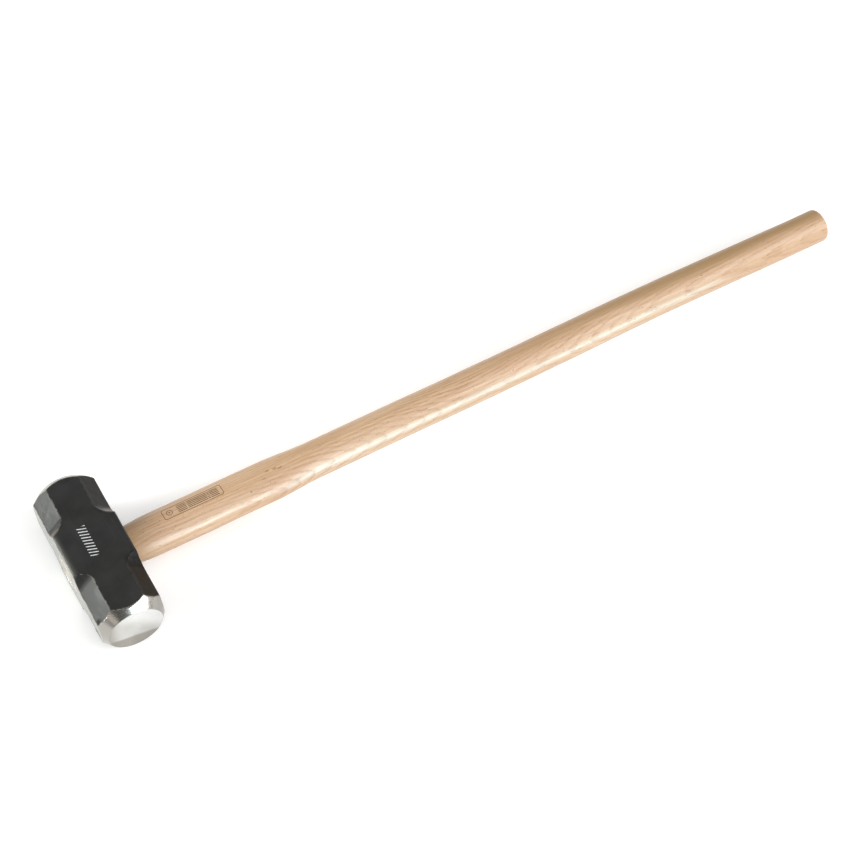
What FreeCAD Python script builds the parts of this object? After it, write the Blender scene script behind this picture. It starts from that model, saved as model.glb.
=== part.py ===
import FreeCAD, Part

# Sledgehammer lying on one cheek of its head.
# Frame, in millimetres: +Z up, floor at z = 0, +X along the handle towards the grip,
# Y along the head from one striking face to the other.
# The origin is the centre of the cheek that the head rests on.
# The crown is the side of the head where the handle's wedged end shows, at low X.

import math
import os

# ---- driving dimensions -------------------------------------------------------------------
overall_length = 902.0          # crown to grip end
head_width = 66.0               # crown to handle side, along X
head_thickness = 66.0           # cheek to cheek, along Z
head_length = 176.0             # striking face to striking face, along Y
blank_edge_radius = 2.5         # forged long edges of the block

bevel_leg = 16.0                # flat bevel on the long edges near both ends, leg on each side
bevel_full_to = 43.0            # |y| where the bevel has its full depth
scoop_radius = 18.5             # round run-out of the bevel towards the middle of the head

face_radius = 28.4              # flat striking face
face_edge_radius = 1.2          # broken edge around the striking face
grind_slope = 0.72              # radius gained per mm back from the face on the ground cone
grind_reach = 40.0              # how far back the cone is drawn, past everything it cuts

eye_crown = (22.0, 15.5)        # half sizes of the eye along Y and Z, at the crown
eye_waist = (20.3, 14.3)        # the narrowest place, inside the head
eye_mouth = (21.2, 15.2)        # where the handle enters
eye_waist_x = 6.0

neck_half = (23.0, 17.5)        # oval neck, half sizes along Y and Z
neck_full_x = 62.0              # the neck reaches its full size here
neck_end_x = 184.0              # the oval starts to turn round here
grip_start_x = 240.0            # and is round from here on
grip_radius = 19.3
grip_taper_x = 500.0            # the grip starts to thin down here
grip_end_radius = 18.4
grip_end_length = 125.0         # plain round stretch at the end, with its rounded edge and dome
end_edge_radius = 5.0
end_dome = 1.2                  # the end bulges this much inside its rounded edge

crown_recess = 0.2              # the wedged wood sits this far under the crown
wood_wedge_depth = 44.0         # how far the wooden wedge is driven in
wood_wedge_thick = 5.0          # at the crown
wood_wedge_tip = 1.2
steel_wedge_depth = 26.0
steel_wedge_width = 19.0        # along Z, across the wooden wedge
steel_wedge_thick = 4.0         # at the crown
steel_wedge_tip = 0.8
steel_wedge_y = 9.5             # distance of each steel wedge from the middle of the eye

# ---- worked out ---------------------------------------------------------------------------
crown_x = -head_width / 2.0
mouth_x = head_width / 2.0
grip_end_x = crown_x + overall_length
axis_z = head_thickness / 2.0
half_length = head_length / 2.0
wood_end_x = crown_x + crown_recess
OVERRUN = 5.0                   # how far cutting tools stand past what they cut


def vec(x, y, z):
    return FreeCAD.Vector(x, y, z)


def oval(x, half_y, half_z):
    """Closed oval wire square to the handle, centred on its axis."""
    centre = vec(x, 0, axis_z)
    curve = Part.Ellipse(vec(x, half_y, axis_z), vec(x, 0, axis_z + half_z), centre)
    return Part.Wire(curve.toShape())


def ease(t):
    """Smooth step from 0 to 1."""
    return t * t * (3.0 - 2.0 * t)


def between(low, high, t):
    return low + (high - low) * t


# ---- head ---------------------------------------------------------------------------------
def head_blank():
    block = Part.makeBox(head_width, head_length, head_thickness, vec(crown_x, -half_length, 0))
    long_edges = [e for e in block.Edges if abs(e.tangentAt(e.FirstParameter).y) > 0.9]
    return block.makeFillet(blank_edge_radius, long_edges)


def bevel_tool(side_x, side_z, side_y):
    """Cutter for one bevel: a flat that scoops out of the edge towards the middle of the head.

    Its outline lies in a plane that holds Y and the bevel's outward normal.
    """
    depth_corner = vec(side_x * head_width / 2.0, 0, axis_z + side_z * head_thickness / 2.0)
    normal = vec(side_x, 0, side_z)
    normal.normalize()
    across = vec(side_x, 0, -side_z)
    across.normalize()
    flat = depth_corner - normal * (bevel_leg / math.sqrt(2.0))
    top = scoop_radius + OVERRUN
    end_y = half_length + OVERRUN
    scoop_end = bevel_full_to - scoop_radius
    mid_y = bevel_full_to - scoop_radius * math.sin(math.pi / 4.0)
    mid_rise = scoop_radius * (1.0 - math.cos(math.pi / 4.0))

    def at(y, rise):
        return flat + vec(0, side_y * y, 0) + normal * rise

    arc = Part.Arc(at(bevel_full_to, 0), at(mid_y, mid_rise), at(scoop_end, scoop_radius)).toShape()
    sides = Part.makePolygon([
        at(scoop_end, scoop_radius),
        at(scoop_end, top),
        at(end_y, top),
        at(end_y, 0),
        at(bevel_full_to, 0),
    ])
    outline = Part.Face(Part.Wire([arc] + sides.Edges))
    outline.translate(across * -bevel_leg)
    return outline.extrude(across * (2.0 * bevel_leg))


def grind_envelope():
    """Solid of revolution about the head's axis that rounds both ends like a ground cone."""
    start = half_length - face_edge_radius
    rim = face_radius + face_edge_radius
    back = half_length - grind_reach
    wide = face_radius + grind_slope * grind_reach
    arc_mid_r = face_radius + face_edge_radius * math.sin(math.pi / 4.0)
    arc_mid_y = start + face_edge_radius * math.cos(math.pi / 4.0)

    def end(side):
        rim_arc = Part.Arc(
            vec(face_radius, side * half_length, 0),
            vec(arc_mid_r, side * arc_mid_y, 0),
            vec(rim, side * start, 0),
        ).toShape()
        cone_line = Part.makeLine(vec(rim, side * start, 0), vec(wide, side * back, 0))
        face_line = Part.makeLine(vec(0, side * half_length, 0), vec(face_radius, side * half_length, 0))
        return [face_line, rim_arc, cone_line]

    barrel = Part.makeLine(vec(wide, back, 0), vec(wide, -back, 0))
    centre = Part.makeLine(vec(0, -half_length, 0), vec(0, half_length, 0))
    edges = Part.sortEdges(end(1) + [barrel] + end(-1) + [centre])[0]
    profile = Part.Face(Part.Wire(edges))
    solid = profile.revolve(vec(0, 0, 0), vec(0, 1, 0), 360)
    solid.translate(vec(0, 0, axis_z))
    return solid


def eye_core():
    """The wood that fills the eye, flared both ways from a waist; also the tool that cuts the eye."""
    sections = [
        oval(crown_x, *eye_crown),
        oval(eye_waist_x, *eye_waist),
        oval(mouth_x, *eye_mouth),
    ]
    return Part.makeLoft(sections, True, False)


def make_head():
    head = head_blank().common(grind_envelope())
    for side_x in (-1, 1):
        for side_z in (-1, 1):
            for side_y in (-1, 1):
                head = head.cut(bevel_tool(side_x, side_z, side_y))
    return head.cut(eye_core()).removeSplitter()


# ---- wedges -------------------------------------------------------------------------------
def wedge_prism(depth, thick, tip, width, thin_axis, offset):
    """Taper that points down the eye; thin along Y or Z, and as wide as given along the other."""
    top = crown_x - OVERRUN
    slope = (thick - tip) / depth
    thick_top = thick + slope * (OVERRUN + crown_recess)
    tip_x = wood_end_x + depth
    corners = [(top, -thick_top / 2.0), (top, thick_top / 2.0), (tip_x, tip / 2.0), (tip_x, -tip / 2.0)]
    if thin_axis == "z":
        points = [vec(x, -width / 2.0, axis_z + t) for x, t in corners]
        travel = vec(0, width, 0)
    else:
        points = [vec(x, offset + t, axis_z - width / 2.0) for x, t in corners]
        travel = vec(0, 0, width)
    face = Part.Face(Part.makePolygon(points + [points[0]]))
    return face.extrude(travel)


def below_crown(shape):
    """Trim a solid in the eye so that it ends just under the crown."""
    keep = Part.makeBox(overall_length + OVERRUN, head_length, head_thickness,
                        vec(wood_end_x, -half_length, 0))
    return shape.common(keep)


def wood_wedge_prism():
    return wedge_prism(wood_wedge_depth, wood_wedge_thick, wood_wedge_tip, 2.5 * eye_crown[0], "z", 0)


def make_steel_wedge(offset):
    prism = wedge_prism(steel_wedge_depth, steel_wedge_thick, steel_wedge_tip,
                        steel_wedge_width, "y", offset)
    return below_crown(prism)


def make_wood_wedge(steel_wedges):
    wedge = below_crown(wood_wedge_prism().common(eye_core()))
    for steel in steel_wedges:
        wedge = wedge.cut(steel)
    return wedge


# ---- handle -------------------------------------------------------------------------------
def neck():
    """Oval neck, from the eye's mouth to the round grip."""
    swell_steps = 4
    turn_steps = 8
    sections = []
    for i in range(swell_steps + 1):
        t = i / swell_steps
        grown = 1.0 - (1.0 - t) ** 2
        sections.append(oval(between(mouth_x, neck_full_x, t),
                             between(eye_mouth[0], neck_half[0], grown),
                             between(eye_mouth[1], neck_half[1], grown)))
    swell = Part.makeLoft(sections, True, False)
    straight = Part.Face(oval(neck_full_x, *neck_half)).extrude(vec(neck_end_x - neck_full_x, 0, 0))
    sections = []
    for i in range(turn_steps + 1):
        t = i / turn_steps
        sections.append(oval(between(neck_end_x, grip_start_x, t),
                             between(neck_half[0], grip_radius, ease(t)),
                             between(neck_half[1], grip_radius, ease(t))))
    turn = Part.makeLoft(sections, True, False)
    return swell.fuse([straight, turn])


def grip():
    """Round grip: a cylinder, a slow taper and a plain round end, domed inside a rounded edge."""
    plain_x = grip_end_x - grip_end_length
    rim_x = grip_end_x - end_dome
    edge_x = rim_x - end_edge_radius
    edge_r = grip_end_radius - end_edge_radius
    arc_x = edge_x + end_edge_radius * math.sin(math.pi / 4.0)
    arc_r = edge_r + end_edge_radius * math.cos(math.pi / 4.0)
    dome_radius = (edge_r ** 2 + end_dome ** 2) / (2.0 * end_dome)
    dome_mid_r = edge_r / 2.0
    dome_mid_x = grip_end_x - dome_radius + math.sqrt(dome_radius ** 2 - dome_mid_r ** 2)
    outline = Part.makePolygon([
        vec(grip_end_x, 0, 0),
        vec(grip_start_x, 0, 0),
        vec(grip_start_x, grip_radius, 0),
        vec(grip_taper_x, grip_radius, 0),
        vec(plain_x, grip_end_radius, 0),
        vec(edge_x, grip_end_radius, 0),
    ])
    rounding = Part.Arc(vec(edge_x, grip_end_radius, 0), vec(arc_x, arc_r, 0),
                        vec(rim_x, edge_r, 0)).toShape()
    dome = Part.Arc(vec(rim_x, edge_r, 0), vec(dome_mid_x, dome_mid_r, 0),
                    vec(grip_end_x, 0, 0)).toShape()
    profile = Part.Face(Part.Wire(outline.Edges + [rounding, dome]))
    solid = profile.revolve(vec(0, 0, 0), vec(1, 0, 0), 360)
    solid.translate(vec(0, 0, axis_z))
    return solid


def make_handle(steel_wedges):
    handle = eye_core().fuse([neck(), grip()]).removeSplitter()
    handle = below_crown(handle).cut(wood_wedge_prism())
    for steel in steel_wedges:
        handle = handle.cut(steel)
    return handle


# ---- the pieces ---------------------------------------------------------------------------
def save(name, shape):
    solids = shape.Solids
    assert shape.isValid() and len(solids) >= 1, name
    piece = solids[0] if len(solids) == 1 else Part.makeCompound(solids)
    piece.exportStep(os.path.join("parts", name + ".step"))
    print(name, "solids", len(solids), "volume_cm3", round(piece.Volume / 1000.0, 1))


os.makedirs("parts", exist_ok=True)
steel_wedges = [make_steel_wedge(-steel_wedge_y), make_steel_wedge(steel_wedge_y)]
save("head", make_head())
save("handle", make_handle(steel_wedges))
save("wood_wedge", make_wood_wedge(steel_wedges))
for number, wedge in enumerate(steel_wedges, start=1):
    save("steel_wedge_%d" % number, wedge)
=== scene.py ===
import math

import bpy
import numpy as np
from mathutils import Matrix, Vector


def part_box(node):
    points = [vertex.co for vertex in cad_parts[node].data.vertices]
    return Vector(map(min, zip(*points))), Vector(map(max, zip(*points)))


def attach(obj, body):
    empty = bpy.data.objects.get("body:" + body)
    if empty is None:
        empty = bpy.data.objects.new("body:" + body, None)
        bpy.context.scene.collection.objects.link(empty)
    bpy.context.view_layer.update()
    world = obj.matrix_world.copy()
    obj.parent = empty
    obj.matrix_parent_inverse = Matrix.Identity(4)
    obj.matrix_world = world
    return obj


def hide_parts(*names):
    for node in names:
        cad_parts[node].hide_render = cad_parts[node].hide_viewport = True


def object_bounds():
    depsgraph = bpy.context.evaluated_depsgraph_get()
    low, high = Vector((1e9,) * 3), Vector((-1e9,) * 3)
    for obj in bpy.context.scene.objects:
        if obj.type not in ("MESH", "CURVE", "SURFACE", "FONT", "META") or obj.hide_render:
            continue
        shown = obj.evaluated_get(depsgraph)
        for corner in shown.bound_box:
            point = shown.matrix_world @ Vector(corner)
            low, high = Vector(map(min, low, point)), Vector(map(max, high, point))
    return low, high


# A sledgehammer lying on one cheek. +X runs along the handle, Y along the head, +Z up.
# Shapes are worked out in millimetres and written to meshes in metres.

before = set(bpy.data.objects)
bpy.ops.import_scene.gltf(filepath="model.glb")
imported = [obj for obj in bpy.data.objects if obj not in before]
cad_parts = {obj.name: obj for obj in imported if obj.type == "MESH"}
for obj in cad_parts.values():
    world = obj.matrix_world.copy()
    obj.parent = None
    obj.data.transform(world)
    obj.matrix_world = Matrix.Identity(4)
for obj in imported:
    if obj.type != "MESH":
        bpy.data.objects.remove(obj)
cad_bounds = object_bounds()

MM = 0.001

# ---- sizes read from the frame, in millimetres ----------------------------------------------
head_low, head_high = (np.array(corner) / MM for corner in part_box("head"))
handle_low, handle_high = (np.array(corner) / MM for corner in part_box("handle"))

HALF_W = (head_high[0] - head_low[0]) / 2      # crown to handle side
HALF_L = (head_high[1] - head_low[1]) / 2      # striking face to striking face
HALF_T = (head_high[2] - head_low[2]) / 2      # cheek to cheek
AXIS_Z = (head_high[2] + head_low[2]) / 2      # height of the handle's axis
CROWN_X = head_low[0]
MOUTH_X = head_high[0]
WOOD_END_X = handle_low[0]
GRIP_END_X = handle_high[0]

# ---- head shape ------------------------------------------------------------------------------
CORNER_ROUND = 4.6            # rounding of the bar's long edges
BEVEL_LEG = 16.0              # legs of the end bevels
BEVEL_ROUND = 0.7             # rounding where a bevel meets the bar
BEVEL_RISE = BEVEL_LEG / math.sqrt(2)
FACE_R = 28.4                 # flat striking face
NEAR_GRIND_SLOPE = 0.72       # radius gained per mm behind the face at -Y
FAR_GRIND_SLOPE = 0.92        # the same behind the face at +Y, which is ground a little less
RIM_ROUND = 0.5               # rounding where a cone meets its face
CROWN_STOCK = 0.5             # forged stock that the sanded crown plane takes off
EYE = {"crown": (22.0, 15.5), "waist": (20.3, 14.3), "mouth": (21.2, 15.2)}  # half sizes along Y and Z
EYE_WAIST_X = 6.0
EYE_EDGE = 0.5                # broken edge at both mouths of the eye
EYE_STATIONS, EYE_SIDES = 12, 128
CORE_INSET = 34.0             # the head's core line ends this far inside each face
GRID_STEP, QUICK_GRID_STEP = 1.0, 1.6

# Waviness of the forged skin: height and wavelength in millimetres, and seed, of each layer.
SKIN_RIPPLES = ((0.07, 34, 5), (0.025, 11, 6), (0.015, 4.5, 7))
THICK_COAT_RIPPLE = (0.5, 4.0, 8)

# The run-outs' own coating: where it starts past the flat's end, how far off the cutter it reaches,
# how far from the middle of the head it starts, and the widths over which it fades in.
RUN_OUT_START, RUN_OUT_FADE = 4.0, 6.0
RUN_OUT_REACH = 1.5
RUN_OUT_SIDE_X, RUN_OUT_SIDE_FADE = 19.0, 10.0
EDGE_WIDTH = 0.9              # width of the strip along a bevel's edge where the coating rubs off
FLAW_COAT = 0.6               # how much thick coating stays in a low spot

# ---- handle shape ----------------------------------------------------------------------------
NECK = (23.0, 17.5)           # half sizes along Y and Z
NECK_FULL_X = 62.0
NECK_END_X = 184.0
GRIP_X = 240.0
GRIP_R = 19.3
TAPER_X = 500.0
END_R = 18.4
END_LENGTH = 125.0
END_ROUND = 5.0
END_DOME = 1.2                # bulge of the grip end inside its rounded edge
DOME_RINGS = (0.85, 0.65, 0.45, 0.25, 0.1)      # sizes of the dome's rings, as shares of its rim
BOW = 2.0                     # natural sideways bow of the grip
BOW_START_X = 430.0
STATION_GAP = 2.5             # between rings along the stick
END_STATIONS, HANDLE_SIDES = 11, 144
LUMP_HEIGHT, LUMP_LENGTH, LUMP_SEED = 0.10, 26.0, 11
LUMP_STRETCH = np.array([0.35, 1, 1])           # lumps are longer along the stick
LUMP_FADE = 20.0              # length past the head over which the lumps begin
SLOT_GAP = 0.06               # room between a wedge and its slot, on each side
# Each wedge's thin axis, and the thickness of its tip as a share of its thick end.
WEDGES = {"wood_wedge": (2, 0.24), "steel_wedge_1": (1, 0.2), "steel_wedge_2": (1, 0.2)}

# Where the two printed marks sit, in millimetres: lowest and highest X and Y.
CHEEK_MARK = (-9.0, 0.0, -14.0, 23.0)
HANDLE_MARK = (74.0, 138.4, -2.0, 10.8)


# ---- shared helpers ----------------------------------------------------------------------------
def ripple(points, wavelength, seed, count=28):
    """Smooth random waviness in about -1..1: a sum of plane waves near one wavelength."""
    shortest, longest = 0.7, 1.6
    rng = np.random.default_rng(seed)
    directions = rng.normal(size=(count, 3))
    directions /= np.linalg.norm(directions, axis=1)[:, None]
    lengths = wavelength * rng.uniform(shortest, longest, count)
    phases = rng.uniform(0, 2 * math.pi, count)
    total = np.zeros(len(points))
    for direction, length, phase in zip(directions, lengths, phases):
        total += np.sin(points @ direction * (2 * math.pi / length) + phase)
    return total / math.sqrt(count)


def smooth_max(a, b, k):
    """The larger of a and b with the corner between them rounded over a width k."""
    h = np.clip(0.5 + 0.5 * (a - b) / k, 0, 1)
    return b + (a - b) * h + k * h * (1 - h)


def ease(t):
    """Smooth step from 0 to 1."""
    t = np.clip(t, 0, 1)
    return t * t * (3 - 2 * t)


def make_object(name, points, faces, smooth=True):
    """A mesh object from points in millimetres."""
    mesh = bpy.data.meshes.new(name)
    mesh.from_pydata((np.asarray(points) * MM).tolist(), [], [list(map(int, f)) for f in faces])
    mesh.polygons.foreach_set("use_smooth", [smooth] * len(mesh.polygons))
    mesh.update()
    obj = bpy.data.objects.new(name, mesh)
    bpy.context.scene.collection.objects.link(obj)
    return obj


def add_attribute(obj, name, values):
    """One number per vertex, which the materials read by name."""
    attribute = obj.data.attributes.new(name, "FLOAT", "POINT")
    attribute.data.foreach_set("value", np.asarray(values, np.float32))


def cut(obj, cutter):
    """Take the cutter's volume out of the object, and delete the cutter."""
    modifier = obj.modifiers.new("cut", "BOOLEAN")
    modifier.operation = "DIFFERENCE"
    modifier.solver = "EXACT"
    modifier.object = cutter
    depsgraph = bpy.context.evaluated_depsgraph_get()
    mesh = bpy.data.meshes.new_from_object(obj.evaluated_get(depsgraph))
    obj.modifiers.clear()
    obj.data = mesh
    bpy.data.objects.remove(cutter)


# ---- head ---------------------------------------------------------------------------------------
# Each bevel has its own run-out. The key is its side along X, Z and Y. The values are |y| where the
# flat ends, |y| where the scoop leaves the bar's corner, the scoop's radius, the flat's extra depth,
# and the coating in the run-out: 1 is thick and matt, and its near black is partly a painted dark
# reflection; 0 is as elsewhere; -1 is rubbed thin, and its pale beige is partly a painted light
# reflection.
SCOOPS = {
    (-1, 1, 1): (42.0, 26.0, 24.0, 0.2, -0.8),
    (-1, 1, -1): (38.5, 24.6, 13.0, 0.0, 0.6),
    (1, 1, 1): (42.5, 23.5, 19.5, 0.1, -0.9),
    (1, 1, -1): (44.5, 25.5, 19.0, -0.2, 0.8),
    (-1, -1, 1): (42.0, 25.0, 24.0, -0.1, 0.3),
    (-1, -1, -1): (44.0, 25.5, 18.0, 0.2, 0.7),
    (1, -1, 1): (43.0, 26.5, 21.0, 0.0, 0.2),
    (1, -1, -1): (41.5, 25.0, 60.0, 0.1, 0.6),
}


def scoop_distance(y, rise, flat_y, corner_y, radius):
    """Distance outside the bevel cutter: a half plane beyond flat_y joined to a round run-out.

    The round passes through (flat_y, 0) and (corner_y, BEVEL_RISE) in the plane of y and rise.
    """
    a = np.array([flat_y, 0.0])
    b = np.array([corner_y, BEVEL_RISE])
    middle = (a + b) / 2
    half_chord = np.linalg.norm(b - a) / 2
    least_radius = half_chord * 1.02
    radius = max(radius, least_radius)
    sideways = np.array([b[1] - a[1], a[0] - b[0]])
    sideways /= np.linalg.norm(sideways)
    centre = middle + sideways * math.sqrt(radius ** 2 - half_chord ** 2)
    overlap = 4.0
    round_part = np.hypot(y - centre[0], rise - centre[1]) - radius
    round_part = np.maximum(round_part, np.maximum(y - flat_y - overlap, -rise))
    flat_part = np.maximum(-rise, flat_y - y)
    return np.minimum(round_part, flat_part)


def bevel_cutters(p):
    """For each bevel: where it applies, the distance to its cutter, and its run-out's coating."""
    x, y, z = p.T
    for (side_x, side_z, side_y), (flat_y, corner_y, radius, extra, matt) in SCOOPS.items():
        rise = (side_x * x + side_z * z - (HALF_W + HALF_T - BEVEL_LEG)) / math.sqrt(2) + extra
        cutter = scoop_distance(side_y * y, rise, flat_y, corner_y, radius)
        mine = (side_x * x > 0) & (side_z * z > 0) & (side_y * y > 0)
        run_out = matt * ease((flat_y - RUN_OUT_START - side_y * y) / RUN_OUT_FADE)
        run_out *= ease(RUN_OUT_REACH - np.abs(cutter))
        run_out *= ease((np.abs(x) - RUN_OUT_SIDE_X) / RUN_OUT_SIDE_FADE)
        yield mine, cutter, np.where(mine, run_out, 0)


# Low spots in the forging that the grinding didn't reach: centre, radius along each axis, depth.
FLAWS = (
    ((-33, -69, -12), (6, 7.5, 4.5), 1.4),
    ((-31.5, -75, 18.5), (2.4, 1.7, 2.4), 1.3),
    ((-33, -8, 32), (4, 5, 3), 0.5),
    ((-33, 12, 31), (4, 7, 3), 0.45),
    ((33, 18, -31), (4, 5, 3), 0.6),
    ((6, 78, 30), (5, 2, 5), 0.5),
)


def bar_distance(p):
    """Signed distance to the square bar with rounded corners that the head is forged from."""
    x, _, z = p.T
    outside_x = np.abs(x + CROWN_STOCK / 2) - HALF_W - CROWN_STOCK / 2
    return smooth_max(outside_x, np.abs(z) - HALF_T, CORNER_ROUND)


def edge_share(p):
    """1 on the edges where a bevel meets a side of the bar, 0 a millimetre or two away."""
    off_bar = (bar_distance(p) / EDGE_WIDTH) ** 2
    share = np.zeros(len(p))
    for mine, cutter, _ in bevel_cutters(p):
        share = np.where(mine, np.exp(-(cutter / EDGE_WIDTH) ** 2 - off_bar), share)
    return share


def forged_distance(p):
    """Signed distance to the forged body before grinding; p is centred on the head."""
    body = bar_distance(p)
    for mine, cutter, _ in bevel_cutters(p):
        body = np.where(mine, smooth_max(body, -cutter, BEVEL_ROUND), body)
    for depth, share in flaw_shares(p):
        body = body + depth * share
    return body


def flaw_shares(p):
    """For each low spot: its depth, and how much of it reaches each point."""
    for centre, radii, depth in FLAWS:
        away = ((p - np.array(centre)) / np.array(radii)) ** 2
        yield depth, np.exp(-away.sum(axis=1))


def ground_distance(p):
    """Signed distance to the ground surfaces: both faces, both cones and the sanded crown."""
    x, y, z = p.T
    radial = np.hypot(x, z)
    slope = np.where(y < 0, NEAR_GRIND_SLOPE, FAR_GRIND_SLOPE)
    cone = (radial - FACE_R - slope * (HALF_L - np.abs(y))) / np.hypot(1, slope)
    face = np.abs(y) - HALF_L
    crown = -HALF_W - x
    return np.maximum(smooth_max(cone, face, RIM_ROUND), crown)


def box_grid(half_x, half_y, half_z, step):
    """Points and quads of a closed box with a regular grid on each side."""
    counts = [max(2, round(2 * h / step)) for h in (half_x, half_y, half_z)]
    half = np.array([half_x, half_y, half_z])
    index = {}
    points = []
    faces = []

    def point(key):
        if key not in index:
            index[key] = len(points)
            points.append(-half + 2 * half * np.array(key) / counts)
        return index[key]

    for axis in range(3):
        u, v = [a for a in range(3) if a != axis]
        for end in (0, counts[axis]):
            for i in range(counts[u]):
                for j in range(counts[v]):
                    corners = []
                    for di, dj in ((0, 0), (1, 0), (1, 1), (0, 1)):
                        key = [0, 0, 0]
                        key[axis] = end
                        key[u] = i + di
                        key[v] = j + dj
                        corners.append(point(tuple(key)))
                    outward = (end > 0) != (axis == 1)
                    faces.append(corners if outward else corners[::-1])
    return np.array(points), faces


def head_points(grid, wobble):
    """Slide each grid point along its ray from the head's core line to the head's surface."""
    past_box = 1.3
    halvings = 26
    core = np.zeros_like(grid)
    core[:, 1] = np.clip(grid[:, 1], -HALF_L + CORE_INSET, HALF_L - CORE_INSET)
    rays = grid - core
    near = np.zeros(len(grid))
    far = np.full(len(grid), past_box)
    for _ in range(halvings):
        middle = (near + far) / 2
        at = core + rays * middle[:, None]
        inside = np.maximum(forged_distance(at) + wobble, ground_distance(at)) < 0
        near = np.where(inside, middle, near)
        far = np.where(inside, far, middle)
    return core + rays * near[:, None]


def eye_half(x):
    """Half sizes of the eye at x: a parabola through its two mouths and its waist."""
    xs = (CROWN_X, EYE_WAIST_X, MOUTH_X)
    sizes = []
    for k in (0, 1):
        values = [EYE[place][k] for place in ("crown", "waist", "mouth")]
        sizes.append(np.polyval(np.polyfit(xs, values, 2), x))
    return sizes


def eye_cutter():
    """Closed loft through the eye, with a broken edge at both mouths."""
    reach = 2.0
    first_turn = 0.011          # keeps the cutter's corners off the head's own grid
    stations = [(CROWN_X - reach, EYE_EDGE + reach)]
    stations += [(x, 0.0) for x in np.linspace(CROWN_X + EYE_EDGE, MOUTH_X - EYE_EDGE, EYE_STATIONS)]
    stations += [(MOUTH_X + reach, EYE_EDGE + reach)]
    rings = []
    turns = np.linspace(0, 2 * math.pi, EYE_SIDES, endpoint=False) + first_turn
    for x, grow in stations:
        half_y, half_z = eye_half(np.clip(x, CROWN_X, MOUTH_X))
        ring = np.stack([
            np.full(len(turns), x),
            (half_y + grow) * np.cos(turns),
            AXIS_Z + (half_z + grow) * np.sin(turns),
        ], axis=1)
        rings.append(ring)
    return tube("eye_cutter", rings)


def tube(name, rings):
    """Closed tube through rings of points that turn from +Y towards +Z, in order of x."""
    count = len(rings[0])
    points = np.concatenate(rings)
    faces = []
    for i in range(len(rings) - 1):
        for j in range(count):
            k = (j + 1) % count
            faces.append((i * count + j, i * count + k, (i + 1) * count + k, (i + 1) * count + j))
    faces.append(list(range(count))[::-1])
    faces.append([(len(rings) - 1) * count + j for j in range(count)])
    return make_object(name, points, faces, smooth=False)


def build_head():
    """The head's mesh, with three numbers at each vertex that its material reads.

    "bare" is how deep the grinding went below the forged skin, and is negative where it didn't reach.
    "run_out" is the coating's thickness in the run-outs and low spots, from SCOOPS and FLAW_COAT.
    "edge" is 1 on the edges of the bevels.
    """
    step = GRID_STEP
    grid, faces = box_grid(HALF_W, HALF_L, HALF_T, step)
    first = head_points(grid, np.zeros(len(grid)))
    wobble = sum(height * ripple(first, length, seed) for height, length, seed in SKIN_RIPPLES)
    thick = sum(np.maximum(share, 0) for _, _, share in bevel_cutters(first))
    height, length, seed = THICK_COAT_RIPPLE
    wobble += height * ripple(first, length, seed) * thick
    points = head_points(grid, wobble)
    bare = ground_distance(points) - forged_distance(points) - wobble
    run_out = sum(share for _, _, share in bevel_cutters(points))
    run_out += FLAW_COAT * sum(share for _, share in flaw_shares(points))
    edge = edge_share(points)
    points += [(CROWN_X + MOUTH_X) / 2, 0, AXIS_Z]
    points = np.clip(points, head_low, head_high)
    head = make_object("hammer_head", points, faces)
    add_attribute(head, "edge", edge)
    add_attribute(head, "bare", bare)
    add_attribute(head, "run_out", run_out)
    cut(head, eye_cutter())
    return head


# ---- handle -------------------------------------------------------------------------------------
def handle_half(x):
    """Half sizes of the handle along Y and Z at x."""
    if x <= MOUTH_X:
        return eye_half(x)
    grown = 1 - (1 - min((x - MOUTH_X) / (NECK_FULL_X - MOUTH_X), 1)) ** 2
    turned = ease((x - NECK_END_X) / (GRIP_X - NECK_END_X))
    thinned = np.clip((x - TAPER_X) / (GRIP_END_X - END_LENGTH - TAPER_X), 0, 1)
    grip = GRIP_R + (END_R - GRIP_R) * thinned
    into_round = max(0.0, x - (GRIP_END_X - END_DOME - END_ROUND))
    grip -= END_ROUND - math.sqrt(max(END_ROUND ** 2 - into_round ** 2, 0))
    sizes = []
    for k in (0, 1):
        neck = EYE["mouth"][k] + (NECK[k] - EYE["mouth"][k]) * grown
        sizes.append(neck + (grip - neck) * turned)
    return sizes


def bow_at(x):
    """Sideways offset of the handle's axis: straight at both ends, bowed in the outer grip."""
    t = np.clip((x - BOW_START_X) / (GRIP_END_X - BOW_START_X), 0, 1)
    return BOW * math.sin(math.pi * t) ** 2


def handle_stations():
    """Places of the rings along the stick: in the eye, along neck and grip, round the end's edge."""
    inside = list(np.linspace(WOOD_END_X, MOUTH_X, EYE_STATIONS))
    round_x = GRIP_END_X - END_DOME - END_ROUND
    first_gap = 1.5
    along = list(np.arange(MOUTH_X + first_gap, round_x, STATION_GAP))
    round_edge = [round_x + END_ROUND * math.sin(t) for t in np.linspace(0, math.pi / 2, END_STATIONS)]
    return inside + along + round_edge


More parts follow.
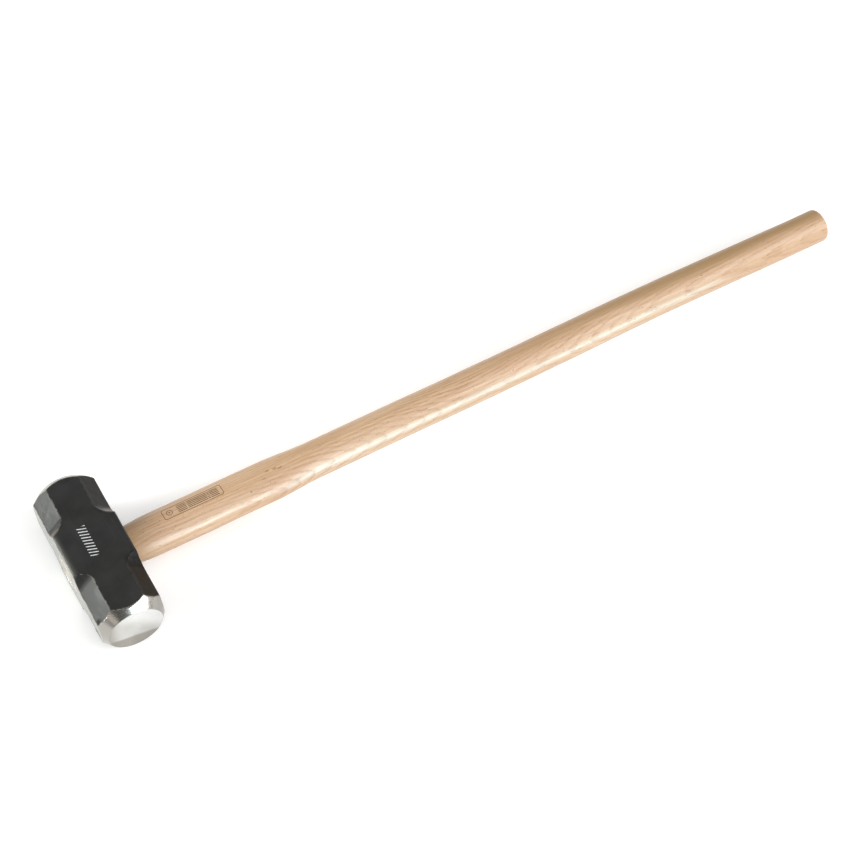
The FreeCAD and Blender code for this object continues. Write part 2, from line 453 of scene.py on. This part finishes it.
def wedge_slot(name):
    """Cutter for one wedge's slot: a taper a hair larger than the wedge, open at the crown."""
    thin_axis, tip_share = WEDGES[name]
    low, high = (np.array(corner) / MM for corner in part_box(name))
    low -= SLOT_GAP
    high += SLOT_GAP
    wide_axis = 3 - thin_axis
    middle = (low + high) / 2
    half = (high - low) / 2
    slope = (1 - tip_share) / (high[0] - low[0])
    reach = 3.0
    points = []
    for x, share in ((low[0] - reach, 1 + slope * reach), (high[0], tip_share)):
        for side_wide, side_thin in ((-1, -1), (1, -1), (1, 1), (-1, 1)):
            point = np.array([x, 0.0, 0.0])
            point[wide_axis] = middle[wide_axis] + side_wide * half[wide_axis]
            point[thin_axis] = middle[thin_axis] + side_thin * share * half[thin_axis]
            points.append(point)
    faces = [(3, 2, 1, 0), (4, 5, 6, 7)]
    faces += [(i, (i + 1) % 4, (i + 1) % 4 + 4, i + 4) for i in range(4)]
    if thin_axis == 1:
        faces = [face[::-1] for face in faces]
    return make_object("slot_" + name, points, faces, smooth=False)


def build_handle():
    """The handle's mesh, with the wedges' slots cut into its end in the eye."""
    turns = np.linspace(0, 2 * math.pi, HANDLE_SIDES, endpoint=False)
    rings = []
    for x in handle_stations():
        half_y, half_z = handle_half(x)
        ring = np.stack([
            np.full(len(turns), x),
            half_y * np.cos(turns),
            half_z * np.sin(turns),
        ], axis=1)
        lumps = LUMP_HEIGHT * ripple(ring * LUMP_STRETCH, LUMP_LENGTH, LUMP_SEED)
        lumps *= ease((x - MOUTH_X) / LUMP_FADE)
        outward = ring * np.array([0, 1, 1])
        outward /= np.linalg.norm(outward, axis=1)[:, None]
        rings.append(ring + outward * lumps[:, None])
    rings += domed_end(rings[-1])
    for ring in rings:
        ring[:, 1] += [bow_at(x) for x in ring[:, 0]]
        ring[:, 2] += AXIS_Z
    handle = tube("handle_stick", rings)
    smooth = [bool(face.center.x > (WOOD_END_X + 0.01) * MM) for face in handle.data.polygons]
    handle.data.polygons.foreach_set("use_smooth", smooth)
    for name in WEDGES:
        cut(handle, wedge_slot(name))
    return handle


def domed_end(rim):
    """Rings that close the grip end: each smaller than the last and a little further out."""
    rings = []
    for share in DOME_RINGS:
        ring = rim * np.array([1, share, share])
        ring[:, 0] += END_DOME * (1 - share ** 2)
        rings.append(ring)
    return rings


# ---- node graphs ----------------------------------------------------------------------------------
class Graph:
    """A material's node tree, with one short call for each kind of node.

    x, y and z are the point's place in millimetres, in the hammer's frame.
    """

    def __init__(self, name):
        self.material = bpy.data.materials.new(name)
        self.material.use_nodes = True
        self.tree = self.material.node_tree
        self.tree.nodes.clear()
        self.shader = self.tree.nodes.new("ShaderNodeBsdfPrincipled")
        output = self.tree.nodes.new("ShaderNodeOutputMaterial")
        self.tree.links.new(self.shader.outputs[0], output.inputs["Surface"])
        coords = self.tree.nodes.new("ShaderNodeTexCoord").outputs["Object"]
        self.mm = self.vector("MULTIPLY", coords, (1000, 1000, 1000))
        self.x, self.y, self.z = self.split(self.mm)

    def put(self, socket, value):
        """Link a node's output to the socket, or set the socket to a constant."""
        if isinstance(value, bpy.types.NodeSocket):
            self.tree.links.new(value, socket)
        else:
            socket.default_value = value

    def vector(self, operation, a, b):
        node = self.tree.nodes.new("ShaderNodeVectorMath")
        node.operation = operation
        self.put(node.inputs[0], a)
        self.put(node.inputs[1], b)
        return node.outputs[0]

    def split(self, value):
        node = self.tree.nodes.new("ShaderNodeSeparateXYZ")
        self.put(node.inputs[0], value)
        return node.outputs[:]

    def math(self, operation, a, b=0.0):
        node = self.tree.nodes.new("ShaderNodeMath")
        node.operation = operation
        self.put(node.inputs[0], a)
        self.put(node.inputs[1], b)
        return node.outputs[0]

    def add(self, a, b):
        return self.math("ADD", a, b)

    def times(self, a, b):
        return self.math("MULTIPLY", a, b)

    def size_of(self, value):
        return self.math("ABSOLUTE", value)

    def larger(self, a, b):
        return self.math("MAXIMUM", a, b)

    def length(self, a, b):
        return self.math("SQRT", self.add(self.times(a, a), self.times(b, b)))

    def noise(self, lengths, detail=2.0, roughness=0.5):
        """Noise in 0..1 whose features are about the given lengths, in millimetres."""
        node = self.tree.nodes.new("ShaderNodeTexNoise")
        node.inputs["Scale"].default_value = 1.0
        node.inputs["Detail"].default_value = detail
        node.inputs["Roughness"].default_value = roughness
        self.put(node.inputs["Vector"], self.vector("DIVIDE", self.mm, lengths))
        return node.outputs[0]

    def attribute(self, name):
        node = self.tree.nodes.new("ShaderNodeAttribute")
        node.attribute_name = name
        return node.outputs["Fac"]

    def fade(self, value, low, high, to_low=0.0, to_high=1.0):
        """Smooth change from to_low to to_high as value goes from low to high."""
        node = self.tree.nodes.new("ShaderNodeMapRange")
        node.interpolation_type = "SMOOTHSTEP"
        numbers = {"From Min": low, "From Max": high, "To Min": to_low, "To Max": to_high}
        for name, number in numbers.items():
            node.inputs[name].default_value = number
        self.put(node.inputs["Value"], value)
        return node.outputs["Result"]

    def band(self, value, low, high, soft):
        """1 where value lies between low and high, with soft edges."""
        above_low = self.fade(value, low - soft, low + soft)
        below_high = self.fade(value, high - soft, high + soft, 1, 0)
        return self.times(above_low, below_high)

    def mix(self, factor, a, b):
        """Colour between a and b."""
        node = self.tree.nodes.new("ShaderNodeMix")
        node.data_type = "RGBA"
        self.put(node.inputs["Factor"], factor)
        self.put(node.inputs[6], a)
        self.put(node.inputs[7], b)
        return node.outputs[2]

    def lerp(self, factor, a, b):
        """Number between a and b."""
        node = self.tree.nodes.new("ShaderNodeMix")
        node.data_type = "FLOAT"
        self.put(node.inputs["Factor"], factor)
        self.put(node.inputs[2], a)
        self.put(node.inputs[3], b)
        return node.outputs[0]

    def bump(self, height, depth):
        """Bump whose height input of 1 stands depth millimetres proud."""
        node = self.tree.nodes.new("ShaderNodeBump")
        node.inputs["Strength"].default_value = 1.0
        node.inputs["Distance"].default_value = depth * MM
        self.put(node.inputs["Height"], height)
        return node.outputs[0]

    def set(self, **sockets):
        """Set the shader's inputs, each named with underscores for its spaces."""
        for name, value in sockets.items():
            self.put(self.shader.inputs[name.replace("_", " ")], value)


def rgb(r, g, b):
    """Colour in linear light, for a colour socket."""
    return (r, g, b, 1.0)


def centred(g, lengths, detail, scale):
    """Noise about zero, times scale."""
    return g.times(g.add(g.noise(lengths, detail, 0.6), -0.5), scale)


# ---- materials ------------------------------------------------------------------------------------
# In these, g is the material's Graph. Noise lengths, places and bump depths are in millimetres.


def cheek_mark(g):
    """Mask of a plain printed ornament on the upper cheek: a ladder of slanted strokes."""
    low_x, high_x, low_y, high_y = CHEEK_MARK
    slant, half_spacing, half_stroke, soft = 0.35, 1.85, 0.52, 0.1
    cheek_z = head_high[2]
    along = g.add(g.y, g.times(g.x, slant))
    off_stroke = g.math("PINGPONG", along, half_spacing)
    strokes = g.fade(off_stroke, half_stroke - soft, half_stroke + soft, 1, 0)
    inside = g.times(g.band(g.x, low_x, high_x, 0.2), g.band(g.y, low_y, high_y, 0.2))
    top = g.fade(g.z, cheek_z - 2, cheek_z - 1)
    worn = g.fade(g.noise((1.5, 1.5, 1.5), 2), 0.32, 0.42, 0.3, 1)
    return g.times(g.times(g.times(strokes, inside), top), worn)


# Colours of the head's coating and steel.
COAT_DARK, COAT_LIGHT = rgb(0.026, 0.026, 0.0255), rgb(0.034, 0.0345, 0.033)
COAT_CLOUD = rgb(0.038, 0.040, 0.039)
# The next colour is a painted reflection of the wooden handle in the coating.
COAT_HANDLE_REFLECTION = rgb(0.011, 0.008, 0.0065)
COAT_SCUFFED = rgb(0.075, 0.078, 0.075)
COAT_SPECK = rgb(0.13, 0.13, 0.125)
# Near black and pale beige of the run-outs: each is partly a painted reflection.
COAT_MATT_DARK_REFLECTION = rgb(0.004, 0.004, 0.004)
COAT_THIN_PALE_REFLECTION = rgb(0.125, 0.108, 0.088)
COAT_SANDED = rgb(0.125, 0.122, 0.112)
COAT_EDGE = rgb(0.17, 0.16, 0.14)
COAT_RIM = rgb(0.24, 0.205, 0.165)
PRINT_WHITE = rgb(0.70, 0.72, 0.72)
CONE_DARK, CONE_LIGHT = rgb(0.33, 0.315, 0.285), rgb(0.44, 0.425, 0.395)
# Painted reflection of the floor's shadow, low on the cones.
CONE_SHADOW_REFLECTION = rgb(0.20, 0.185, 0.16)
FACE_DARK, FACE_LIGHT = rgb(0.46, 0.45, 0.43), rgb(0.62, 0.61, 0.59)
STEEL_SMUDGED = rgb(0.38, 0.36, 0.325)
STEEL_CROWN = rgb(0.40, 0.415, 0.395)
# Painted shade and a painted reflected highlight on the striking faces.
STEEL_PAINTED_SHADE = rgb(0.24, 0.22, 0.19)
STEEL_PAINTED_HIGHLIGHT = rgb(0.80, 0.80, 0.79)


def coat_color(g, mottle, matt, ground):
    """Charcoal coating: mottled, scuffed and specked, thin or rubbed where the head was handled, with
    painted reflections: the handle's brown on the bevels, and near black and pale beige in the
    run-outs.
    """
    cloud = g.noise((60, 60, 60), 2)
    specks = g.fade(g.noise((1.1, 1.1, 1.1), 1), 0.74, 0.80)
    scuffs = g.fade(g.noise((1.2, 34, 1.2), 3, 0.6), 0.60, 0.78)
    coat = g.mix(g.fade(mottle, 0.3, 0.75), COAT_DARK, COAT_LIGHT)
    coat = g.mix(g.fade(cloud, 0.35, 0.7, 0, 0.5), coat, COAT_CLOUD)

    # Painted reflection of the wooden handle, brown on the bevels by the handle; then the scuffs,
    # specks and the run-outs' own coating.
    off_middle = g.size_of(g.y)
    handle_reflection = g.times(g.fade(g.x, 16, 21), g.fade(off_middle, 24, 36))
    coat = g.mix(g.times(handle_reflection, 0.9), coat, COAT_HANDLE_REFLECTION)
    coat = g.mix(g.times(scuffs, 0.4), coat, COAT_SCUFFED)
    coat = g.mix(g.times(specks, 0.35), coat, COAT_SPECK)
    # Run-outs: near black where thick and matt, partly a painted dark reflection; pale beige where
    # rubbed thin, partly a painted light reflection.
    coat = g.mix(g.times(matt, 0.85), coat, COAT_MATT_DARK_REFLECTION)
    thin = g.fade(g.add(matt, centred(g, (5, 5, 5), 3, 0.5)), -0.55, -0.1, 0.8, 0)
    coat = g.mix(thin, coat, COAT_THIN_PALE_REFLECTION)

    # Sanded thin beside the eye, rubbed along edges by the crown, chipped where the grinding starts.
    by_crown = g.times(g.fade(g.x, CROWN_X, CROWN_X + 9, 1, 0), g.fade(off_middle, 22, 30, 1, 0))
    coat = g.mix(g.times(g.times(by_crown, by_crown), 0.75), coat, COAT_SANDED)
    rubbed_edge = g.fade(g.add(g.attribute("edge"), centred(g, (5, 5, 5), 3, 1.8)), 0.66, 1.0)
    rubbed_edge = g.times(rubbed_edge, g.fade(g.x, -12, 14, 0.6, 0.15))
    coat = g.mix(rubbed_edge, coat, COAT_EDGE)
    chipped_rim = g.fade(ground, -0.65, -0.05)
    coat = g.mix(g.times(chipped_rim, 0.75), coat, COAT_RIM)
    return g.mix(cheek_mark(g), coat, PRINT_WHITE)


def steel_color(g, brushed, smudge):
    """Ground steel: cones, sanded crown and faces, with painted shade and painted reflections on the
    faces and low on the cones.
    """
    cones = g.mix(brushed, CONE_DARK, CONE_LIGHT)
    # Painted reflection of the floor's shadow: darker low on the cones.
    cones = g.mix(g.fade(g.z, 4, 26, 0.5, 0), cones, CONE_SHADOW_REFLECTION)
    on_face = g.fade(g.size_of(g.y), HALF_L - 0.35, HALF_L - 0.15)
    steel = g.mix(on_face, cones, g.mix(brushed, FACE_DARK, FACE_LIGHT))
    steel = g.mix(g.fade(smudge, 0.35, 0.75, 0, 0.35), steel, STEEL_SMUDGED)
    on_crown = g.fade(g.x, CROWN_X + 0.2, CROWN_X + 0.6, 1, 0)
    steel = g.mix(g.times(on_crown, 0.6), steel, STEEL_CROWN)

    # Faces: a painted reflection of the floor's shadow below a slanting line, painted shade by the
    # crown, and a painted reflected highlight towards handle and upper cheek.
    tilted = g.add(g.add(g.z, g.times(g.x, 0.24)), centred(g, (10, 10, 10), 2, 2.5))
    reflected_shadow = g.fade(tilted, 19.5, 23.5, 0.8, 0)
    steel = g.mix(g.times(reflected_shadow, on_face), steel, STEEL_PAINTED_SHADE)
    shaded_end = g.fade(g.add(g.x, g.times(brushed, 5)), -27, -10, 0.7, 0)
    steel = g.mix(g.times(shaded_end, on_face), steel, STEEL_PAINTED_SHADE)
    reflected_highlight = g.fade(g.add(g.x, g.add(g.z, -AXIS_Z)), 0, 26, 0, 0.75)
    return g.mix(g.times(reflected_highlight, on_face), steel, STEEL_PAINTED_HIGHLIGHT)


def head_material():
    """Charcoal satin coating over forged steel, with brushed bare steel where it was ground."""
    g = Graph("charcoal_coated_steel")
    chips = g.add(centred(g, (1.8, 1.8, 1.8), 4, 2.1), centred(g, (8, 8, 8), 2, 1.9))
    ground = g.add(g.attribute("bare"), chips)
    bare = g.fade(ground, -0.05, 0.10)
    matt = g.attribute("run_out")
    mottle = g.noise((16, 16, 16), 4, 0.6)
    brushed = g.noise((46, 0.8, 0.22), 3, 0.6)
    turned = g.noise((3.0, 0.16, 3.0), 2, 0.6)
    smudge = g.noise((26, 26, 26), 3)
    peel = g.noise((1.6, 1.6, 1.6), 2)

    color = g.mix(bare, coat_color(g, mottle, matt, ground), steel_color(g, brushed, smudge))
    rough_coat = g.add(g.fade(mottle, 0.25, 0.8, 0.30, 0.40), g.times(g.larger(matt, 0), 0.35))
    rough_steel = g.add(g.fade(brushed, 0.3, 0.7, 0.20, 0.30), g.fade(smudge, 0.3, 0.8, -0.03, 0.06))
    roughness = g.lerp(bare, rough_coat, rough_steel)
    height = g.lerp(bare, g.times(peel, 0.5), g.add(g.times(brushed, 0.5), g.times(turned, 0.3)))
    g.set(Base_Color=color, Metallic=bare, Roughness=roughness, Normal=g.bump(height, 0.03))
    g.set(Specular_IOR_Level=0.16)
    return g.material


# How the sheets of growth rings drift along the stick, which draws long arches on it: stretches of
# (x from, x to, change in depth), all in millimetres.
RING_RUN_OUT = ((40, 200, -3.5), (150, 450, -27.0), (400, 720, 27.0), (690, 900, 8.0))
RING_NORMAL = math.radians(62)      # from +Z towards -Y, across the sheets
RING_SPACING = 2.7
THIN_RINGS_EACH = 3.7               # fine lines to one broad ring
BACK_SHADE_SIDE = math.radians(38)       # from +Z towards +Y, the grip's back side, painted darker brown as shade


def across(g, angle):
    """Distance from the stick's axis along a direction turned from +Z towards +Y."""
    return g.add(g.times(g.y, math.sin(angle)), g.times(g.add(g.z, -AXIS_Z), math.cos(angle)))


def ring_depth(g):
    """Depth across the growth rings: tilted sheets that run out of the stick, and wander."""
    depth = across(g, -RING_NORMAL)
    for start, end, change in RING_RUN_OUT:
        depth = g.add(depth, g.fade(g.x, start, end, 0, change))
    depth = g.add(depth, centred(g, (150, 60, 60), 1, 9.0))
    depth = g.add(depth, centred(g, (34, 10, 10), 2, 2.4))
    return g.add(depth, centred(g, (7, 0.9, 0.9), 2, 0.9))


def growth_rings(g, depth):
    """0 in pale wood, 1 at a dark line, with one sharp and one soft side."""
    phase = g.math("FRACT", g.times(depth, 1 / RING_SPACING))
    fine = g.math("FRACT", g.times(depth, THIN_RINGS_EACH / RING_SPACING))
    broad = g.times(g.fade(phase, 0.0, 0.09), g.fade(phase, 0.09, 0.6, 1, 0))
    thin = g.times(g.fade(fine, 0.0, 0.3), g.fade(fine, 0.3, 0.9, 1, 0))
    return g.add(g.times(broad, 0.8), g.times(thin, 0.2))


def handle_mark(g):
    """Mask of a plain printed panel on the neck: a rounded outline round a dotted ring and bars."""
    low_x, high_x, low_y, high_y = HANDLE_MARK
    corner, half_row = 2.0, 1.0
    bars_start, bars_end, bars_margin = 14.0, 4.0, 1.6
    dot_inset, dot_r, ring_low, ring_high = 7.0, 0.85, 2.6, 3.3
    from_middle_x = g.add(g.x, -(low_x + high_x) / 2)
    from_middle_y = g.add(g.y, -(low_y + high_y) / 2)

    out_x = g.larger(g.add(g.size_of(from_middle_x), corner - (high_x - low_x) / 2), 0)
    out_y = g.larger(g.add(g.size_of(from_middle_y), corner - (high_y - low_y) / 2), 0)
    edge = g.length(out_x, out_y)
    outline = g.band(edge, corner - 0.4, corner + 0.3, 0.15)

    rows = g.fade(g.math("PINGPONG", from_middle_y, half_row), 0.38, 0.60, 1, 0)
    pieces = g.fade(g.noise((3.0, 400, 400), 0), 0.36, 0.40)
    bars_x = g.band(g.x, low_x + bars_start, high_x - bars_end, 0.3)
    bars_y = g.band(g.y, low_y + bars_margin, high_y - bars_margin, 0.2)
    bars = g.times(g.times(rows, pieces), g.times(bars_x, bars_y))

    from_dot_x = g.add(g.x, -(low_x + dot_inset))
    from_dot = g.length(from_dot_x, from_middle_y)
    dot = g.fade(from_dot, dot_r - 0.15, dot_r + 0.15, 1, 0)
    ring = g.larger(g.band(from_dot, ring_low, ring_high, 0.15), dot)

    top = g.fade(g.z, AXIS_Z + 5, AXIS_Z + 7)
    faded = g.fade(g.noise((1.2, 1.2, 1.2), 2), 0.3, 0.6, 0.65, 1)
    return g.times(g.larger(g.larger(outline, bars), ring), g.times(top, faded))


# Small dark knots on the neck and grip: centre and length, in millimetres.
PIN_KNOTS = (
    (187, 0.5, 50, 2.4),
    (195, -0.5, 50, 2.8),
    (200, -2.2, 50, 4.0),
    (163, -12, 46, 1.8),
    (520, 13, 46, 2.6),
)
KNOT_WIDTH, KNOT_DEPTH = 1.5, 4.0


def pin_knots(g):
    """Mask of the pin knots: ragged flecks that lie along the grain."""
    ragged = centred(g, (1.6, 0.8, 0.8), 3, 1.6)
    mask = 0.0
    for x, y, z, length in PIN_KNOTS:
        off = g.vector("SUBTRACT", g.mm, (x, y, z))
        off_x, off_y, off_z = g.split(g.vector("DIVIDE", off, (length, KNOT_WIDTH, KNOT_DEPTH)))
        away = g.add(g.add(g.times(off_x, off_x), g.times(off_y, off_y)), g.times(off_z, off_z))
        mask = g.larger(mask, g.fade(g.add(away, ragged), 0.35, 0.9, 1, 0))
    return mask


# Colours of the handle's wood.
WOOD_DARK, WOOD_PALE = rgb(0.635, 0.42, 0.255), rgb(0.765, 0.555, 0.375)
WOOD_BLOTCH = rgb(0.64, 0.405, 0.255)
WOOD_OUTER_GRIP = rgb(0.60, 0.405, 0.25)
WOOD_RING = rgb(0.45, 0.22, 0.105)
WOOD_FIBRE = rgb(0.46, 0.28, 0.165)
WOOD_PORE = rgb(0.26, 0.14, 0.08)
WOOD_FLECK = rgb(0.14, 0.075, 0.045)
WOOD_KNOT = rgb(0.22, 0.14, 0.09)
# Painted shade: on the grip's back side, and on the neck next to the head.
WOOD_BACK_SHADE = rgb(0.40, 0.25, 0.12)
WOOD_SHADE_BY_HEAD = rgb(0.46, 0.285, 0.135)
WOOD_SAWN_END = rgb(0.39, 0.365, 0.32)
PRINT_BROWN = rgb(0.062, 0.035, 0.016)


def wood_color(g, rings, fibre, pores, flecks):
    """Pale hardwood: streaks and blotches, rings, pores, flecks, knots and the mark, with painted
    shade on the grip's back and on the neck by the head.
    """
    streak = g.noise((90, 2.6, 2.6), 3, 0.55)
    blotch = g.noise((110, 24, 24), 2)
    clear = g.fade(g.noise((120, 30, 30), 2), 0.3, 0.7, 0.4, 0.85)
    strength = g.times(clear, g.fade(g.noise((22, 2.4, 2.4), 2), 0.3, 0.65, 0.35, 1))
    wood = g.mix(g.fade(streak, 0.3, 0.7), WOOD_DARK, WOOD_PALE)
    wood = g.mix(g.fade(blotch, 0.4, 0.75, 0, 0.45), wood, WOOD_BLOTCH)
    wood = g.mix(g.fade(g.x, 500, 800, 0, 0.45), wood, WOOD_OUTER_GRIP)
    wood = g.mix(g.times(rings, strength), wood, WOOD_RING)
    wood = g.mix(g.fade(fibre, 0.35, 0.75, 0, 0.25), wood, WOOD_FIBRE)
    wood = g.mix(g.times(pores, 0.55), wood, WOOD_PORE)
    wood = g.mix(g.times(flecks, 0.65), wood, WOOD_FLECK)
    wood = g.mix(g.times(pin_knots(g), 0.5), wood, WOOD_KNOT)

    # Painted shade: darker brown on the grip's back side, growing towards the grip end.
    back_shade = g.fade(g.add(across(g, BACK_SHADE_SIDE), centred(g, (90, 9, 9), 2, 5)), 9, 18)
    back_shade = g.times(back_shade, g.fade(g.x, 330, 740, 0.1, 0.85))
    wood = g.mix(back_shade, wood, WOOD_BACK_SHADE)
    # Painted shade on the neck next to the head.
    wood = g.mix(g.fade(g.x, MOUTH_X, MOUTH_X + 28, 0.45, 0), wood, WOOD_SHADE_BY_HEAD)
    wood = g.mix(g.times(handle_mark(g), 0.95), wood, PRINT_BROWN)
    return g.mix(g.fade(g.x, WOOD_END_X + 0.1, WOOD_END_X + 1.5, 0.85, 0), wood, WOOD_SAWN_END)


def handle_material():
    """Pale hardwood with growth rings that run out along the grip, pores and flecks, under lacquer."""
    g = Graph("lacquered_hardwood")
    rings = growth_rings(g, ring_depth(g))
    fibre = g.noise((16, 0.8, 0.8), 3, 0.6)
    pore_lines = g.fade(g.noise((4.5, 0.75, 0.75), 2, 0.6), 0.59, 0.71)
    pores = g.times(pore_lines, g.fade(rings, 0.0, 0.8, 0.35, 1))
    flecks = g.fade(g.noise((3.0, 1.3, 1.3), 1), 0.71, 0.765)
    dents = g.fade(g.noise((6, 4, 4), 2), 0.62, 0.72)
    fuzz = g.noise((2.6, 1.3, 1.3), 2)

    relief = ((fibre, 0.45), (rings, 0.25), (pores, -0.7), (dents, -1.0), (flecks, -4.0), (fuzz, 1.3))
    height = 0.0
    for part, share in relief:
        height = g.add(height, g.times(part, share))
    color = wood_color(g, rings, fibre, pores, flecks)
    g.set(Base_Color=color, Roughness=g.fade(fibre, 0.3, 0.7, 0.30, 0.40), Normal=g.bump(height, 0.06))
    return g.material


def wedge_wood_material():
    """Raw sawn end grain, with growth rings, pores as dots and saw marks across it."""
    g = Graph("raw_wedge_wood")
    ring_spacing = 2.6
    wavy_z = g.add(g.z, g.times(g.noise((9, 9, 9), 1), 4))
    rings = g.fade(g.math("FRACT", g.times(wavy_z, 1 / ring_spacing)), 0.0, 0.8, 1, 0)
    dots = g.fade(g.noise((0.7, 0.45, 0.45), 1), 0.6, 0.75)
    saw = g.noise((30, 0.5, 12), 2)
    wood = g.mix(g.times(rings, 0.6), rgb(0.46, 0.43, 0.375), rgb(0.37, 0.33, 0.28))
    wood = g.mix(g.times(dots, 0.6), wood, rgb(0.14, 0.08, 0.045))
    g.set(Base_Color=wood, Roughness=g.fade(saw, 0.3, 0.7, 0.6, 0.85), Normal=g.bump(saw, 0.12))
    return g.material


def wedge_steel_material():
    """Dull rolled steel with driving marks."""
    g = Graph("dull_wedge_steel")
    marks = g.noise((2.0, 2.0, 2.0), 3)
    steel = g.mix(g.fade(marks, 0.35, 0.7), rgb(0.32, 0.315, 0.30), rgb(0.50, 0.49, 0.47))
    g.set(Base_Color=steel, Metallic=1.0)
    g.set(Roughness=g.fade(marks, 0.3, 0.7, 0.32, 0.55), Normal=g.bump(marks, 0.08))
    return g.material


# ---- studio ---------------------------------------------------------------------------------------
# Lengths here are in metres and angles in degrees. The view was worked out from the hammer's outline.
VIEW_AZIMUTH, VIEW_ELEVATION = -119.46, 56.03
VIEW_DISTANCE = 2.0728
VIEW_LENS = 85.06
VIEW_SHIFT = (-0.0593, -0.0218, 0.0)      # from the middle of the hammer's box to the picture's middle

# Colours of the lights.
WHITE, GREENISH = (1.0, 1.0, 1.0), (0.97, 1.0, 0.95)
COOL, BLUISH, WARM = (0.80, 0.94, 1.0), (0.38, 0.80, 1.0), (1.0, 0.95, 0.88)


def floor_material():
    """Pale back-lit table that glows a little through its shadows."""
    g = Graph("pale_floor")
    paper = g.noise((400, 400, 400), 2)
    g.set(Base_Color=g.mix(paper, rgb(0.77, 0.77, 0.77), rgb(0.79, 0.79, 0.79)), Roughness=0.9)
    g.set(Specular_IOR_Level=0.1, Emission_Color=rgb(1.0, 1.0, 1.0), Emission_Strength=0.38)
    return g.material


def build_floor():
    half = 9000.0           # millimetres
    points = [(-half, -half, 0), (half, -half, 0), (half, half, 0), (-half, half, 0)]
    floor = make_object("studio_floor", points, [(0, 1, 2, 3)])
    floor.data.materials.append(floor_material())


def from_angles(azimuth, elevation):
    """Direction from the object: azimuth counts from +X towards +Y, in degrees."""
    a, e = math.radians(azimuth), math.radians(elevation)
    return Vector((math.cos(a) * math.cos(e), math.sin(a) * math.cos(e), math.sin(e)))


def softbox(name, azimuth, elevation, distance, size, radiance, aim, color=WHITE):
    """Rectangular light that faces a point; its brightness is given as radiance."""
    data = bpy.data.lights.new(name, "AREA")
    data.shape = "RECTANGLE"
    data.size, data.size_y = size
    data.color = color
    data.energy = radiance * math.pi * size[0] * size[1]
    light = bpy.data.objects.new(name, data)
    bpy.context.scene.collection.objects.link(light)
    toward = from_angles(azimuth, elevation)
    light.location = Vector(aim) + toward * distance
    light.rotation_euler = toward.to_track_quat("Z", "Y").to_euler()
    return light


def reflected_strip(name, azimuth, elevation, distance, size, radiance, aim, color):
    """Small light close to the hammer that shows only as a reflection in steel or lacquer."""
    light = softbox(name, azimuth, elevation, distance, size, radiance, aim, color)
    light.data.spread = math.radians(100)
    light.visible_camera = False
    light.visible_diffuse = False


def build_world():
    """Pale studio horizon under a dim ceiling."""
    world = bpy.data.worlds.new("studio_walls")
    bpy.context.scene.world = world
    world.use_nodes = True
    nodes, links = world.node_tree.nodes, world.node_tree.links
    background = nodes["Background"]
    coords = nodes.new("ShaderNodeTexCoord")
    split = nodes.new("ShaderNodeSeparateXYZ")
    fade = nodes.new("ShaderNodeMapRange")
    fade.interpolation_type = "SMOOTHSTEP"
    horizon, overhead, overhead_height = 0.6, 0.16, 0.30
    fade.inputs["From Max"].default_value = overhead_height
    fade.inputs["To Min"].default_value = horizon
    fade.inputs["To Max"].default_value = overhead
    links.new(coords.outputs["Generated"], split.inputs[0])
    links.new(split.outputs["Z"], fade.inputs["Value"])
    links.new(fade.outputs["Result"], background.inputs["Strength"])
    background.inputs["Color"].default_value = rgb(1.0, 0.99, 0.975)


def build_camera():
    """View from above and to the left of the striking face, as the hammer is pictured."""
    low, high = (Vector(corner) for corner in cad_bounds)
    target = (low + high) / 2 + Vector(VIEW_SHIFT)
    back = from_angles(VIEW_AZIMUTH, VIEW_ELEVATION)
    data = bpy.data.cameras.new("camera")
    data.lens = VIEW_LENS
    data.sensor_width = 36.0
    data.clip_end = 100.0
    camera = bpy.data.objects.new("camera", data)
    bpy.context.scene.collection.objects.link(camera)
    camera.location = target + back * VIEW_DISTANCE
    camera.rotation_euler = back.to_track_quat("Z", "Y").to_euler()
    bpy.context.scene.camera = camera
    return target


def build_studio():
    """Camera, floor, walls and lights.

    The numbers of a light are azimuth, elevation, distance, size, radiance and the point it faces.
    """
    target = build_camera()
    build_floor()
    build_world()
    head_middle = (0, 0, 0.05)
    softbox("key_front_right", -41, 31, 6.0, (4.4, 3.4), 5.6, target)
    softbox("panel_back_left", 150, 16, 2.4, (0.9, 0.7), 29, head_middle, GREENISH)
    softbox("panel_left", 178, 17, 2.4, (0.9, 0.6), 9, head_middle)
    overhead = softbox("overhead_diffuse", -70, 66, 5.0, (5.0, 5.0), 1.45, target)
    overhead.visible_glossy = False
    reflected_strip("strip_by_face", -66, 43, 0.35, (0.10, 0.09), 6, (0, -0.085, 0.045), COOL)
    reflected_strip("strip_by_cone", -143, 21, 0.35, (0.15, 0.10), 0.3, (-0.02, -0.08, 0.045), WARM)
    reflected_strip("strip_by_neck", -71, 19, 0.6, (0.20, 0.17), 8.5, (0.07, 0, 0.04), COOL)
    reflected_strip("strip_by_grip", -90, -6, 0.11, (0.54, 0.050), 5.4, (0.49, 0, 0.032), BLUISH)
    bpy.context.scene.view_settings.view_transform = "Standard"


# ---- assembly -------------------------------------------------------------------------------------
def set_material(obj, material):
    obj.data.materials.clear()
    obj.data.materials.append(material)


def build_hammer():
    """Fine meshes in place of the CAD head and handle, and new materials on the CAD wedges."""
    head = build_head()
    set_material(head, head_material())
    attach(head, "root")
    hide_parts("head")

    handle = build_handle()
    set_material(handle, handle_material())
    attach(handle, "root")
    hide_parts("handle")

    set_material(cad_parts["wood_wedge"], wedge_wood_material())
    wedge_steel = wedge_steel_material()
    for name in ("steel_wedge_1", "steel_wedge_2"):
        set_material(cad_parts[name], wedge_steel)


build_studio()
build_hammer()
